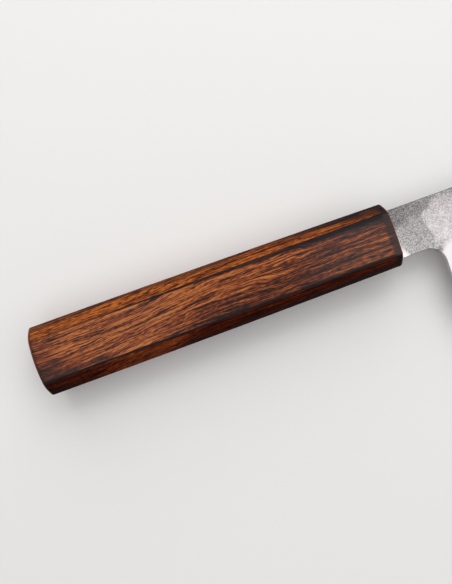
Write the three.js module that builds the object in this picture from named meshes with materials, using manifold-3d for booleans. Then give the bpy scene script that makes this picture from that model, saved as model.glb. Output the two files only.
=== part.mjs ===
// A bunka kitchen knife lying on its side: a three-layer forged blade with a clipped tip, whose
// tapered tang is bedded in a one-piece octagonal handle of burnt oak.
//
// Millimetres, +Z up. The knife is drawn on its own axes: X runs along the handle's axis from the
// handle's front face towards the tip, Y from the axis towards the spine, and Z from the blade's
// middle plane out of its right face. The group that holds the knife then lays it down, so that the
// origin is under the middle of its bounding box, on the surface that it lies on.
import * as THREE from "three";
import { mergeVertices } from "three/addons/utils/BufferGeometryUtils.js";
import Module from "manifold-3d";

const wasm = await Module();
wasm.setup();

// Handle
const HANDLE_LENGTH = 132;
const BUTT_HEIGHT = 24.8; // spine side to edge side
const FRONT_HEIGHT = 22.8;
const BUTT_THICKNESS = 20; // left side to right side
const FRONT_THICKNESS = 18;
const SIDE_FACET = 15.2; // width of the two broad facets, left and right
const EDGE_FACET = 10.4; // width of the two facets on the spine side and the edge side
const ARRIS_ROUNDING = 0.7; // how far the rounding of a long corner reaches into its facets
const RIM_ROUNDING = 0.9; // radius round the front face and round the butt
const BUTT_CROWN = 0.4; // how far the middle of the butt stands proud of its rim
const BUTT_BOW = 0.45; // how far the butt falls back towards the spine side and the edge side
const FRONT_BOW = 0.4; // the same at the front face
const BOW_REACH = 14; // stretch of the handle in which its sections straighten out

// Blade outline
const BLADE_LENGTH = 170; // heel to tip
const BLADE_HEIGHT = 47; // spine to edge at the heel
const NECK_LENGTH = 16.1; // handle's front face to heel
const NECK_HEIGHT = 17.8;
const NECK_DROP = 0.35; // how far the middle of the neck lies below the handle's axis
const CHOIL_RADIUS = 6; // the hollow between the neck and the heel
const HEEL_ROUNDING = 0.8;
const SPINE_DROP = 2.2; // fall of the spine from the heel to the clip's corner
const CLIP_LENGTH = 46; // length along X of the straight cut from the spine to the tip
const EDGE_FLAT = 80; // straight stretch of the edge, from the heel
const EDGE_RISE = 10; // rise of the edge from its straight stretch to the tip
const EDGE_SWEEP = 2.2; // power of the curve by which the edge rises

// Blade section
const NECK_THICKNESS = 3.6; // at the handle
const HEEL_THICKNESS = 2.8; // at the spine, above the heel
const TIP_THICKNESS = 1.4; // what the flats have thinned to at the tip's station
const CORE_THICKNESS = 0.9; // the hard middle layer
const BEVEL_HEIGHT = 28.8; // ground face, from the edge up to the ridge where the flats begin
const RUNOUT_LENGTH = 6; // stretch in which the ridge bends down into the heel
const RUNOUT_DROP = 2.1;
const RUNOUT_SWEEP = 3; // power of the curve by which the ridge bends down
const EDGE_THICKNESS = 0.3; // behind the sharpened strip
const SHARPENED_STRIP = 0.7; // height of the fine bevel at the cutting edge

// Tang, and its socket in the handle
const TANG_LENGTH = 95;
const TANG_ROOT_HEIGHT = 12.4; // behind the neck's shoulders
const TANG_END_HEIGHT = 6.5;
const TANG_END_THICKNESS = 2.4;
const SHOULDER_SEAT = 0.3; // clearance between the shoulders and the handle's front face
const BED_THICKNESS = 0.6; // room for adhesive all round the tang
const BED_CLEARANCE = 0.1; // between the set adhesive and the tang or the wood
const BED_RECESS = 0.4; // how far the adhesive stays below the handle's front face
const SOCKET_OVERRUN = 4; // depth of the socket past the end of the tang

// Fineness of the curved stretches
const ARRIS_STEPS = 4;
const CORNER_STEPS = 3;
const RIM_STEPS = 5;
const HANDLE_STATIONS = 14;
const CROWN_RINGS = 3;
const RUNOUT_STATIONS = 12;
const FLAT_STATIONS = 6;
const SWEEP_STATIONS = 22;
const CURVE_SEGMENTS = 14;
const WELD = 1e-4; // vertices nearer than this are one vertex
const CUT_MARGIN = 5; // how far a cutting form reaches past what it cuts

// Places that follow from the sizes
const BUTT_X = -HANDLE_LENGTH;
const SHOULDER_X = SHOULDER_SEAT;
const HEEL_X = NECK_LENGTH;
const TIP_X = HEEL_X + BLADE_LENGTH;
const CLIP_X = TIP_X - CLIP_LENGTH;
const SPINE_Y = NECK_HEIGHT / 2 - NECK_DROP;
const UNDER_Y = SPINE_Y - NECK_HEIGHT;
const EDGE_Y = SPINE_Y - BLADE_HEIGHT;
const TIP_Y = EDGE_Y + EDGE_RISE;
const CLIP_Y = SPINE_Y - SPINE_DROP;
const SWEEP_X = HEEL_X + EDGE_FLAT;
const RIDGE_X = HEEL_X + RUNOUT_LENGTH;
const TANG_END_X = -TANG_LENGTH;
const SOCKET_END_X = TANG_END_X - SOCKET_OVERRUN;

const mix = (from, to, share) => from + (to - from) * share;
const steps = (count, from, to) => Array.from({ length: count + 1 }, (_, i) => mix(from, to, i / count));

// Solids

// The triangles of a geometry as a solid that can be cut and joined.
function toSolid(geometry) {
  const bare = new THREE.BufferGeometry();
  bare.setAttribute("position", geometry.getAttribute("position"));
  bare.setIndex(geometry.index);
  const merged = mergeVertices(bare, WELD);
  return new wasm.Manifold(
    new wasm.Mesh({
      numProp: 3,
      vertProperties: new Float32Array(merged.attributes.position.array),
      triVerts: new Uint32Array(merged.index.array),
    }),
  );
}

// A solid as a geometry with one normal for each triangle.
function toGeometry(solid) {
  const { numProp, vertProperties, triVerts } = solid.getMesh();
  const geometry = new THREE.BufferGeometry();
  const interleaved = new THREE.InterleavedBuffer(vertProperties, numProp);
  geometry.setAttribute("position", new THREE.InterleavedBufferAttribute(interleaved, 3, 0));
  geometry.setIndex(new THREE.BufferAttribute(triVerts, 1));
  const faceted = geometry.toNonIndexed();
  faceted.computeVertexNormals();
  return faceted;
}

// A closed skin through sections of equal point count, which follow each other along +X and run
// counterclockwise as seen from the tip.
function loft(sections) {
  const ring = sections[0].length;
  const last = sections.length - 1;
  const index = [];
  for (let s = 0; s < last; s++) {
    for (let p = 0; p < ring; p++) {
      const a = s * ring + p;
      const b = s * ring + ((p + 1) % ring);
      index.push(a, b, b + ring, a, b + ring, a + ring);
    }
  }
  for (let p = 1; p < ring - 1; p++) {
    index.push(0, p + 1, p);
    index.push(last * ring, last * ring + p, last * ring + p + 1);
  }
  const geometry = new THREE.BufferGeometry().setFromPoints(sections.flat());
  geometry.setIndex(index);
  return geometry;
}

// A box between two corners.
function box(low, high) {
  const size = new THREE.Vector3().subVectors(high, low);
  const middle = new THREE.Vector3().addVectors(low, high).multiplyScalar(0.5);
  return new THREE.BoxGeometry(...size).translate(...middle);
}

// Handle

// Half the handle's height and thickness at x. The height falls away from the butt in a gentle
// curve, and the thickness in a straight line, so that the broad facets are flat.
function handleHalves(x) {
  const along = (x - BUTT_X) / HANDLE_LENGTH;
  return {
    height: mix(BUTT_HEIGHT, FRONT_HEIGHT, along * along) / 2,
    thickness: mix(BUTT_THICKNESS, FRONT_THICKNESS, along) / 2,
  };
}

// How far the spine side and the edge side are moved along X at x, because the butt and the front
// face are rounded as seen from the right.
function bow(x) {
  const nearButt = Math.max(0, 1 - (x - BUTT_X) / BOW_REACH);
  const nearFront = Math.max(0, 1 + x / BOW_REACH);
  return BUTT_BOW * nearButt - FRONT_BOW * nearFront;
}

// The octagon at x with its corners rounded, drawn in by inset and then shrunk towards the axis.
function handleSection(x, inset, shrink = 1, place = x) {
  const { height, thickness } = handleHalves(x);
  const chamferY = height - SIDE_FACET / 2;
  const chamferZ = thickness - EDGE_FACET / 2;
  const slant = Math.hypot(chamferY, chamferZ);
  const outY = height - inset;
  const outZ = thickness - inset;
  const sideY = SIDE_FACET / 2 - (inset * (slant - chamferY)) / chamferZ;
  const edgeZ = EDGE_FACET / 2 - (inset * (slant - chamferZ)) / chamferY;
  const quarter = [new THREE.Vector2(outY, edgeZ), new THREE.Vector2(sideY, outZ)];
  const mirrored = (signY, signZ, flip) => {
    const corners = quarter.map((c) => new THREE.Vector2(c.x * signY, c.y * signZ));
    return flip ? corners.reverse() : corners;
  };
  const corners = [
    ...mirrored(1, 1, false),
    ...mirrored(-1, 1, true),
    ...mirrored(-1, -1, false),
    ...mirrored(1, -1, true),
  ];
  return corners.flatMap((corner, i) => {
    const before = corners[(i + corners.length - 1) % corners.length];
    const after = corners[(i + 1) % corners.length];
    const towards = (other) =>
      other.clone().sub(corner).setLength(ARRIS_ROUNDING).add(corner);
    return new THREE.QuadraticBezierCurve(towards(before), corner, towards(after))
      .getPoints(ARRIS_STEPS)
      .map((p) => {
        const y = p.x * shrink;
        return new THREE.Vector3(place + bow(place) * (y / height) ** 2, y, p.y * shrink);
      });
  });
}

// The distance that a quarter-round rim is drawn in, at a depth below the face that it surrounds.
function rimInset(depth) {
  const rise = RIM_ROUNDING - depth;
  return RIM_ROUNDING - Math.sqrt(RIM_ROUNDING ** 2 - rise ** 2);
}

function handleBlank() {
  const rimX = BUTT_X + BUTT_CROWN;
  const bodyX = rimX + RIM_ROUNDING;
  const shares = steps(CROWN_RINGS, 1 / (CROWN_RINGS + 1), 1).slice(0, -1);
  const crown = shares.map((share) =>
    handleSection(rimX, RIM_ROUNDING, share, BUTT_X + BUTT_CROWN * share ** 2),
  );
  const depths = steps(RIM_STEPS, 0, Math.PI / 2).map((turn) => RIM_ROUNDING * (1 - Math.cos(turn)));
  const buttRim = depths.map((depth) => handleSection(rimX + depth, rimInset(depth)));
  const body = steps(HANDLE_STATIONS, bodyX, -RIM_ROUNDING)
    .slice(1, -1)
    .map((x) => handleSection(x, 0));
  const frontRim = [...depths].reverse().map((depth) => handleSection(-depth, rimInset(depth)));
  const face = [...shares].reverse().map((share) => handleSection(0, RIM_ROUNDING, share));
  return loft([...crown, ...buttRim, ...body, ...frontRim, ...face]);
}

// Tang and socket

// Half the tang's height and thickness at x, which both shrink evenly from the shoulders to its end.
function tangHalves(x) {
  const along = (SHOULDER_X - x) / (SHOULDER_X - TANG_END_X);
  return {
    height: mix(TANG_ROOT_HEIGHT, TANG_END_HEIGHT, along) / 2,
    thickness: mix(NECK_THICKNESS, TANG_END_THICKNESS, along) / 2,
  };
}

// The tang's section at x grown by the given room on every side, with its corners rounded.
function slotSection(x, room) {
  const { height, thickness } = tangHalves(Math.max(x, TANG_END_X));
  const corners = [
    [height, thickness],
    [-height, thickness],
    [-height, -thickness],
    [height, -thickness],
  ];
  return corners.flatMap(([y, z], i) => {
    const start = (i * Math.PI) / 2;
    return steps(CORNER_STEPS, start, start + Math.PI / 2).map(
      (turn) => new THREE.Vector3(x, y + room * Math.cos(turn), z + room * Math.sin(turn)),
    );
  });
}

const slot = (fromX, toX, room) => loft([fromX, TANG_END_X, toX].map((x) => slotSection(x, room)));

function handle() {
  const socket = slot(SOCKET_END_X, CUT_MARGIN, BED_THICKNESS);
  return toSolid(handleBlank()).subtract(toSolid(socket));
}

// Set adhesive: a cup round the tang that fills the socket up to just below the front face.
function tangBed() {
  const outside = slot(SOCKET_END_X + BED_CLEARANCE, -BED_RECESS, BED_THICKNESS - BED_CLEARANCE);
  const hollow = slot(TANG_END_X - BED_CLEARANCE, CUT_MARGIN, BED_CLEARANCE);
  return toSolid(outside).subtract(toSolid(hollow));
}

// Blade

// Half the blade's thickness at x: it tapers from the shoulders both ways, to the tang's end and
// to the tip.
function halfThickness(x) {
  if (x < SHOULDER_X) {
    return tangHalves(Math.max(x, TANG_END_X)).thickness;
  }
  if (x < HEEL_X) {
    return mix(NECK_THICKNESS, HEEL_THICKNESS, (x - SHOULDER_X) / (HEEL_X - SHOULDER_X)) / 2;
  }
  return mix(HEEL_THICKNESS, TIP_THICKNESS, (x - HEEL_X) / BLADE_LENGTH) / 2;
}

// Height of the cutting edge at x: straight from the heel, then sweeping up to the tip.
function edgeY(x) {
  const along = Math.max(0, (x - SWEEP_X) / (TIP_X - SWEEP_X));
  return EDGE_Y + EDGE_RISE * along ** EDGE_SWEEP;
}

// Height of the ridge between the ground bevel and the flat, which bends down into the heel.
function ridgeY(x) {
  const short = Math.max(0, (RIDGE_X - x) / RUNOUT_LENGTH);
  return edgeY(x) + BEVEL_HEIGHT - RUNOUT_DROP * short ** RUNOUT_SWEEP;
}

// The knife seen from its right side, with the tang. The cutting edge is left to the grinding, so
// the outline runs below it.
function bladeOutline() {
  const belowEdge = EDGE_Y - CUT_MARGIN;
  const clipFall = (CLIP_Y - TIP_Y) / CLIP_LENGTH;
  const tangRadius = TANG_END_HEIGHT / 2;
  const root = TANG_ROOT_HEIGHT / 2;
  const outline = new THREE.Shape();
  outline.absarc(TANG_END_X + tangRadius, 0, tangRadius, Math.PI / 2, (3 * Math.PI) / 2, false);
  outline.lineTo(SHOULDER_X, -root);
  outline.lineTo(SHOULDER_X, UNDER_Y);
  outline.absarc(HEEL_X - CHOIL_RADIUS, UNDER_Y - CHOIL_RADIUS, CHOIL_RADIUS, Math.PI / 2, 0, true);
  outline.absarc(HEEL_X + HEEL_ROUNDING, EDGE_Y + HEEL_ROUNDING, HEEL_ROUNDING, Math.PI, 1.5 * Math.PI, false);
  outline.lineTo(HEEL_X + HEEL_ROUNDING, belowEdge);
  outline.lineTo(CLIP_X + (CLIP_Y - belowEdge) / clipFall, belowEdge);
  outline.lineTo(CLIP_X, CLIP_Y);
  outline.quadraticCurveTo((HEEL_X + CLIP_X) / 2, SPINE_Y, HEEL_X, SPINE_Y);
  outline.lineTo(SHOULDER_X, SPINE_Y);
  outline.lineTo(SHOULDER_X, root);
  outline.closePath();
  return outline;
}

// The form that forging and grinding leave at x: flats, then the broad bevel from the ridge down,
// then the sharpened strip, which comes to an edge.
function groundSection(x) {
  const top = SPINE_Y + CUT_MARGIN;
  const thick = halfThickness(x);
  const edge = edgeY(x);
  const strip = edge + SHARPENED_STRIP;
  const ridge = Math.max(ridgeY(x), strip + SHARPENED_STRIP);
  const right = [
    [top, thick],
    [ridge, thick],
    [strip, EDGE_THICKNESS / 2],
  ];
  const left = right.map(([y, z]) => [y, -z]).reverse();
  return [...right, [edge, 0], ...left].map(([y, z]) => new THREE.Vector3(x, y, z));
}

function groundForm() {
  const stations = [
    TANG_END_X - CUT_MARGIN,
    TANG_END_X,
    SHOULDER_X,
    ...steps(RUNOUT_STATIONS, HEEL_X - RUNOUT_LENGTH, HEEL_X),
    ...steps(RUNOUT_STATIONS, HEEL_X, RIDGE_X).slice(1),
    ...steps(FLAT_STATIONS, RIDGE_X, SWEEP_X).slice(1),
    ...steps(SWEEP_STATIONS, SWEEP_X, TIP_X).slice(1),
    TIP_X + 1,
  ];
  return loft(stations.map(groundSection));
}

// The forged bar between two heights of its thickness, cut to the outline and ground.
function bladeLayer(blank, lowZ, highZ) {
  const low = new THREE.Vector3(SOCKET_END_X - CUT_MARGIN, EDGE_Y - 2 * CUT_MARGIN, lowZ);
  const high = new THREE.Vector3(TIP_X + 2 * CUT_MARGIN, SPINE_Y + 2 * CUT_MARGIN, highZ);
  return blank.intersect(toSolid(box(low, high)));
}

function bladeBlank() {
  const stock = Math.max(NECK_THICKNESS, HEEL_THICKNESS) + CUT_MARGIN;
  const outline = new THREE.ExtrudeGeometry(bladeOutline(), {
    depth: stock,
    bevelEnabled: false,
    curveSegments: CURVE_SEGMENTS,
  }).translate(0, 0, -stock / 2);
  return toSolid(outline).intersect(toSolid(groundForm()));
}

// Assembly

const burntOak = new THREE.MeshStandardMaterial({ color: 0x6b3a22, roughness: 0.35, metalness: 0 });
const forgedIron = new THREE.MeshStandardMaterial({ color: 0xaaa7a4, roughness: 0.5, metalness: 1 });
const edgeSteel = new THREE.MeshStandardMaterial({ color: 0xd4d5d8, roughness: 0.22, metalness: 1 });
const adhesive = new THREE.MeshStandardMaterial({ color: 0x4a3a2a, roughness: 0.5, metalness: 0 });

function piece(name, solid, material) {
  const mesh = new THREE.Mesh(toGeometry(solid), material);
  mesh.name = name;
  return mesh;
}

const blank = bladeBlank();
const surface = CORE_THICKNESS / 2;
const outside = Math.max(NECK_THICKNESS, HEEL_THICKNESS);

const knife = new THREE.Group();
knife.add(
  piece("core_steel", bladeLayer(blank, -surface, surface), edgeSteel),
  piece("right_cladding", bladeLayer(blank, surface, outside), forgedIron),
  piece("left_cladding", bladeLayer(blank, -outside, -surface), forgedIron),
  piece("handle", handle(), burntOak),
  piece("tang_bed", tangBed(), adhesive),
);

// Laid down on its left side, where the handle's butt is what touches the surface.
const highestY = Math.max(BUTT_HEIGHT / 2, SPINE_Y);
const restingDepth = handleHalves(BUTT_X + BUTT_CROWN + RIM_ROUNDING).thickness;
knife.position.set(-(BUTT_X + TIP_X) / 2, -(EDGE_Y + highestY) / 2, restingDepth);

export default knife;
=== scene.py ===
# %% [markdown]
# A bunka knife, finished in Blender
#
# The knife lies on its left side on a pale floor and is seen from almost straight above. Its solids
# are already built and packed, so this lesson only dresses them: the blade's three layers and the
# handle get finer meshes of the same size, and every surface gets its finish. The shared frame is in
# metres, with +X towards the tip, +Y towards the spine and +Z up, out of the blade's right face.

# %% Load the frame
import math
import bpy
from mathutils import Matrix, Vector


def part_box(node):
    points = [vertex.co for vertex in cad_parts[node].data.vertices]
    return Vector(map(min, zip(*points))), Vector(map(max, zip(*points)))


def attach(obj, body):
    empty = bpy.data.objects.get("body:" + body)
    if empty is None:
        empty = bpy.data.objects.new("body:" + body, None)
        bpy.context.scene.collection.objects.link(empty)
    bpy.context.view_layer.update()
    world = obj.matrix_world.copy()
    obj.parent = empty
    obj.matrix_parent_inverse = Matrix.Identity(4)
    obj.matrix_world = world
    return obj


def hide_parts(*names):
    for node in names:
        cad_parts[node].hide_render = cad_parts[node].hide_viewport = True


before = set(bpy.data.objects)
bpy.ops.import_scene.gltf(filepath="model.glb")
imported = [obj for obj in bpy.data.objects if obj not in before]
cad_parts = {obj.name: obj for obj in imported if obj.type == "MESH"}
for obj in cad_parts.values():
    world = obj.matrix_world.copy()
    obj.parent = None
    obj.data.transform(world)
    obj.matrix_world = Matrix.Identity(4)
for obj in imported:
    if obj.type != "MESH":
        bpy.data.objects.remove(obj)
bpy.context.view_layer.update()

from types import SimpleNamespace

import bpy
import numpy as np
from mathutils import Euler, Vector
from mathutils.geometry import delaunay_2d_cdt

MM = 0.001
HANDLE_LOW, HANDLE_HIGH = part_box("handle")
# The middle of the handle's front face. Sizes below are measured from it, in millimetres: x along the
# handle's axis towards the tip, y towards the spine, z out of the right face.
FRONT = Vector((
    HANDLE_HIGH.x,
    (HANDLE_LOW.y + HANDLE_HIGH.y) / 2,
    (HANDLE_LOW.z + HANDLE_HIGH.z) / 2,
))
print("front face of the handle at", [round(value, 5) for value in FRONT])

# %% [markdown]
# The camera comes first, because everything is judged through it. It hangs over the handle and is
# turned so that the knife climbs to the right. Its place and its three turns were found by fitting a
# pinhole camera to the handle's corners, and its lens is written as a 36 mm sensor's, whose long side
# is the picture's height.

# %% Camera
SENSOR = 36.0
PICTURE_HEIGHT = 584
FOCAL_PIXELS = 579.9
CAMERA_FROM_FRONT = Vector((-63.5, -1.8, 207.2))
CAMERA_TURNS = (0.85, -0.18, -19.95)
NEAREST_SEEN = 10.0


def new_object(name, data):
    """An object at the origin, linked into the scene."""
    made = bpy.data.objects.new(name, data)
    bpy.context.scene.collection.objects.link(made)
    return made


eye = bpy.data.cameras.new("camera")
eye.sensor_width = SENSOR
eye.lens = FOCAL_PIXELS / PICTURE_HEIGHT * SENSOR
eye.clip_start = NEAREST_SEEN * MM
camera = new_object("camera", eye)
camera.location = FRONT + CAMERA_FROM_FRONT * MM
camera.rotation_euler = Euler([math.radians(turn) for turn in CAMERA_TURNS])
bpy.context.scene.camera = camera
print("lens", round(eye.lens, 2), "mm")

# %% [markdown]
# Node trees are built by code here, and a formula of ten signs would take ten nodes and twenty lines.
# `Term` keeps such formulas readable: it wraps a socket, and each sign written on it adds one Math
# node to the tree, in a shader tree and a geometry tree alike.

# %% Small helpers for node trees
def feed(tree, socket, value):
    """Links value into socket if it is a socket or a Term, and sets it there otherwise."""
    if isinstance(value, Term):
        value = value.socket
    if isinstance(value, bpy.types.NodeSocket):
        tree.links.new(value, socket)
    else:
        socket.default_value = value


def feed_all(tree, node, inputs):
    """Feeds a node's inputs: a dictionary by name or number, or a row of values in their order."""
    pairs = inputs.items() if isinstance(inputs, dict) else enumerate(inputs)
    for key, value in pairs:
        feed(tree, node.inputs[key], value)


def add_node(tree, kind, inputs=(), **settings):
    """A new node with its settings made and its inputs fed."""
    made = tree.nodes.new(kind)
    for name, value in settings.items():
        setattr(made, name, value)
    feed_all(tree, made, inputs)
    return made


class Term:
    """A number that a node tree works out. Arithmetic on it adds Math nodes to the tree."""

    def __init__(self, tree, socket):
        self.tree = tree
        self.socket = socket

    def math(self, operation, *others):
        made = add_node(self.tree, "ShaderNodeMath", (self, *others), operation=operation)
        return Term(self.tree, made.outputs[0])

    def __add__(self, other):
        return self.math("ADD", other)

    def __sub__(self, other):
        return self.math("SUBTRACT", other)

    def __mul__(self, other):
        return self.math("MULTIPLY", other)

    def __truediv__(self, other):
        return self.math("DIVIDE", other)

    def __rsub__(self, other):
        return (self * -1.0) + other

    __radd__ = __add__
    __rmul__ = __mul__

    def most(self, other):
        return self.math("MAXIMUM", other)

    def ramp(self, low, high, to_low=0.0, to_high=1.0, smooth=False):
        """Carries low..high to to_low..to_high and holds the ends."""
        inputs = (self, low, high, to_low, to_high)
        kind = "SMOOTHSTEP" if smooth else "LINEAR"
        made = add_node(self.tree, "ShaderNodeMapRange", inputs, interpolation_type=kind)
        return Term(self.tree, made.outputs["Result"])


def blend(start, end, share):
    """start where share is 0 and end where it is 1."""
    return start + (end - start) * share


print("helpers ready")

# %% [markdown]
# The handle is one block of oak, an octagon that thins from the butt to the front. A shape that
# follows a rule suits Geometry Nodes: the rule is written once, with named inputs, and any size can be
# changed later. The tree makes a plain grid for one quarter of the handle and puts each of its points
# in place by formula. Rows of the grid go from the middle of the butt, round its rim, along the handle,
# round the front rim, in across the front face and down into the tang's socket. Columns go a quarter
# of the way round, from the middle of the narrow facet to the middle of the broad one. Two mirrorings
# make the quarter whole, and merging closes the seams and the two poles.

# %% Handle sizes, in millimetres
HANDLE = {
    "Length": 132.0,
    "Butt Height": 24.8,
    "Front Height": 22.8,
    "Butt Thickness": 20.0,
    "Front Thickness": 18.0,
    "Broad Facet": 15.2,
    "Narrow Facet": 10.4,
    "Arris Radius": 0.8,
    "Rim Radius": 0.9,
    "Corner Rim Radius": 1.2,
    "Butt Crown": 0.4,
    "Butt Bow": 0.41,
    "Butt Corner Fall": 0.0,
    "Butt Chamfer Bulge": 0.2,
    "Front Bow": 0.12,
    "Front Corner Fall": 0.3,
    "Front Chamfer Bulge": 0.15,
    "Bow Reach": 14.0,
    "Mouth Height": 12.4,
    "Mouth Thickness": 3.6,
    "Socket End Height": 6.5,
    "Socket End Thickness": 2.4,
    "Socket Depth": 99.0,
    "Bed": 0.6,
}
# How many steps each stretch of the grid takes.
ROWS = {"crown": 8, "butt_rim": 6, "body": 110, "front_rim": 6, "face": 6, "socket": 16, "end": 3}
COLUMNS = {"narrow": 5, "first_arris": 6, "chamfer": 10, "second_arris": 6, "broad": 7}
ROW_COUNT = sum(ROWS.values()) + 1
COLUMN_COUNT = sum(COLUMNS.values()) + 1
print("handle:", len(HANDLE), "sizes, a grid of", ROW_COUNT, "by", COLUMN_COUNT, "points")

# %% The grid and its stretches
QUARTER_TURN = math.pi / 2
# Keeps a whole quotient from falling just short of itself.
NUDGE = 1e-4


def stretches(number, counts):
    """For each named stretch, how far number has got through it, from 0 to 1."""
    shares = {}
    start = 0
    for name, count in counts.items():
        shares[name] = number.ramp(start, start + count)
        start += count
    return shares


def handle_grid(tree):
    """The grid, and how far each point of it is along the handle and around it, by stretch."""
    counts = {"Vertices X": ROW_COUNT, "Vertices Y": COLUMN_COUNT}
    grid = add_node(tree, "GeometryNodeMeshGrid", counts)
    index = Term(tree, add_node(tree, "GeometryNodeInputIndex").outputs[0])
    row = (index / COLUMN_COUNT + NUDGE).math("FLOOR")
    along = stretches(row, ROWS)
    around = stretches(index - row * COLUMN_COUNT, COLUMNS)
    for facet in ("narrow", "chamfer", "broad"):
        around[facet] = around[facet].ramp(0.0, 1.0, smooth=True)
    return grid.outputs["Mesh"], along, around


print("stretches along:", *ROWS)
print("stretches around:", *COLUMNS)

# %% The octagon and its rims
def row_places(size, along, around):
    """Where each row is on the axis, how far a rounded rim draws its section in, and how far round
    such a rim it is."""
    rim = blend(size["Corner Rim Radius"], size["Rim Radius"], around["chamfer"])
    butt_turn = along["butt_rim"] * QUARTER_TURN
    front_turn = along["front_rim"] * QUARTER_TURN
    straight = size["Length"] - size["Butt Crown"] - rim * 2.0
    body = along["body"].ramp(0.0, 1.0, smooth=True)
    outer_x = (
        size["Butt Crown"] * along["crown"] * along["crown"]
        - size["Length"]
        + rim * (1.0 - butt_turn.math("COSINE"))
        + straight * body
        + rim * front_turn.math("SINE")
    )
    inset = rim * (2.0 - butt_turn.math("SINE") - front_turn.math("COSINE"))
    round_rim = (butt_turn * 2.0).math("SINE") + (front_turn * 2.0).math("SINE")
    return outer_x, inset, round_rim


def octagon_quarter(size, outer_x, inset, around):
    """The octagon's quarter, as a small corner-to-corner path with a round brush run along it."""
    share = (outer_x + size["Length"]) / size["Length"]
    half_height = blend(size["Butt Height"], size["Front Height"], share * share) * 0.5
    half_thickness = blend(size["Butt Thickness"], size["Front Thickness"], share) * 0.5
    half_broad = size["Broad Facet"] * 0.5
    half_narrow = size["Narrow Facet"] * 0.5
    leg_y = half_height - half_broad
    leg_z = half_thickness - half_narrow
    slant = (leg_y * leg_y + leg_z * leg_z).math("SQRT")
    drawn_in = inset + size["Arris Radius"]
    path_broad = half_broad - drawn_in * (slant - leg_y) / leg_z
    path_narrow = half_narrow - drawn_in * (slant - leg_z) / leg_y
    chamfer_turn = leg_y.math("ARCTAN2", leg_z)
    turn = blend(chamfer_turn * around["first_arris"], QUARTER_TURN, around["second_arris"])
    cosine = turn.math("COSINE")
    sine = turn.math("SINE")
    path_y = blend(half_height - drawn_in, path_broad, around["chamfer"]) * (1.0 - around["broad"])
    path_z = blend(path_narrow * around["narrow"], half_thickness - drawn_in, around["chamfer"])
    return SimpleNamespace(
        y=path_y + size["Arris Radius"] * cosine,
        z=path_z + size["Arris Radius"] * sine,
        cosine=cosine,
        sine=sine,
        past_broad=around["broad"] * half_broad - (1.0 - around["chamfer"]) * slant,
        past_narrow=(1.0 - around["narrow"]) * half_narrow - around["chamfer"] * slant,
    )


print("octagon from", HANDLE["Butt Height"], "to", HANDLE["Front Height"], "mm high")

# %% The socket and the rounded ends
def socket_quarter(size, along, around, octagon):
    """The socket's quarter: the tang's own section, grown by the room for its bed."""
    half_height = blend(size["Mouth Height"], size["Socket End Height"], along["socket"]) * 0.5
    half_thickness = blend(size["Mouth Thickness"], size["Socket End Thickness"], along["socket"]) * 0.5
    y = half_height * (1.0 - around["broad"]) + size["Bed"] * octagon.cosine
    z = half_thickness * around["narrow"] + size["Bed"] * octagon.sine
    return y, z


def end_fall(size, outer_x, around):
    """How far the ends are rounded as seen from the side: each falls back a little from the middle of
    a broad facet to its long corners, and again down the chamfers, whose own ends bulge."""
    past_middle = 1.0 - around["broad"]
    down_chamfer = 1.0 - around["chamfer"]
    bulge = down_chamfer * around["chamfer"] * 4.0

    def fall_of(end):
        bow = size[end + " Bow"] * past_middle * past_middle
        return bow + size[end + " Corner Fall"] * down_chamfer - size[end + " Chamfer Bulge"] * bulge

    near_butt = (1.0 - (outer_x + size["Length"]) / size["Bow Reach"]).most(0.0)
    near_front = (1.0 + outer_x / size["Bow Reach"]).most(0.0)
    return fall_of("Butt") * near_butt - fall_of("Front") * near_front


print("socket", HANDLE["Socket Depth"], "mm deep")

# %% From a quarter to the whole
MERGE_DISTANCE = 0.002


def passed_on(tree, kind, geometry, inputs=None, **settings):
    """A geometry after one more node."""
    return add_node(tree, kind, {0: geometry, **(inputs or {})}, **settings).outputs[0]


def whole_from_quarter(tree, quarter):
    """The grid's faces point into the wood, so they are turned out. Then come two mirrorings, each
    joined to what it mirrors, and the seams are merged."""
    whole = passed_on(tree, "GeometryNodeFlipFaces", quarter)
    for mirror in ((1, -1, 1), (1, 1, -1)):
        turned = passed_on(tree, "GeometryNodeTransform", whole, {"Scale": mirror})
        both = add_node(tree, "GeometryNodeJoinGeometry")
        tree.links.new(passed_on(tree, "GeometryNodeFlipFaces", turned), both.inputs[0])
        tree.links.new(whole, both.inputs[0])
        whole = both.outputs[0]
    whole = passed_on(tree, "GeometryNodeMergeByDistance", whole, {"Distance": MERGE_DISTANCE * MM})
    return passed_on(tree, "GeometryNodeSetShadeSmooth", whole)


print("points closer than", MERGE_DISTANCE, "mm are merged")

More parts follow.
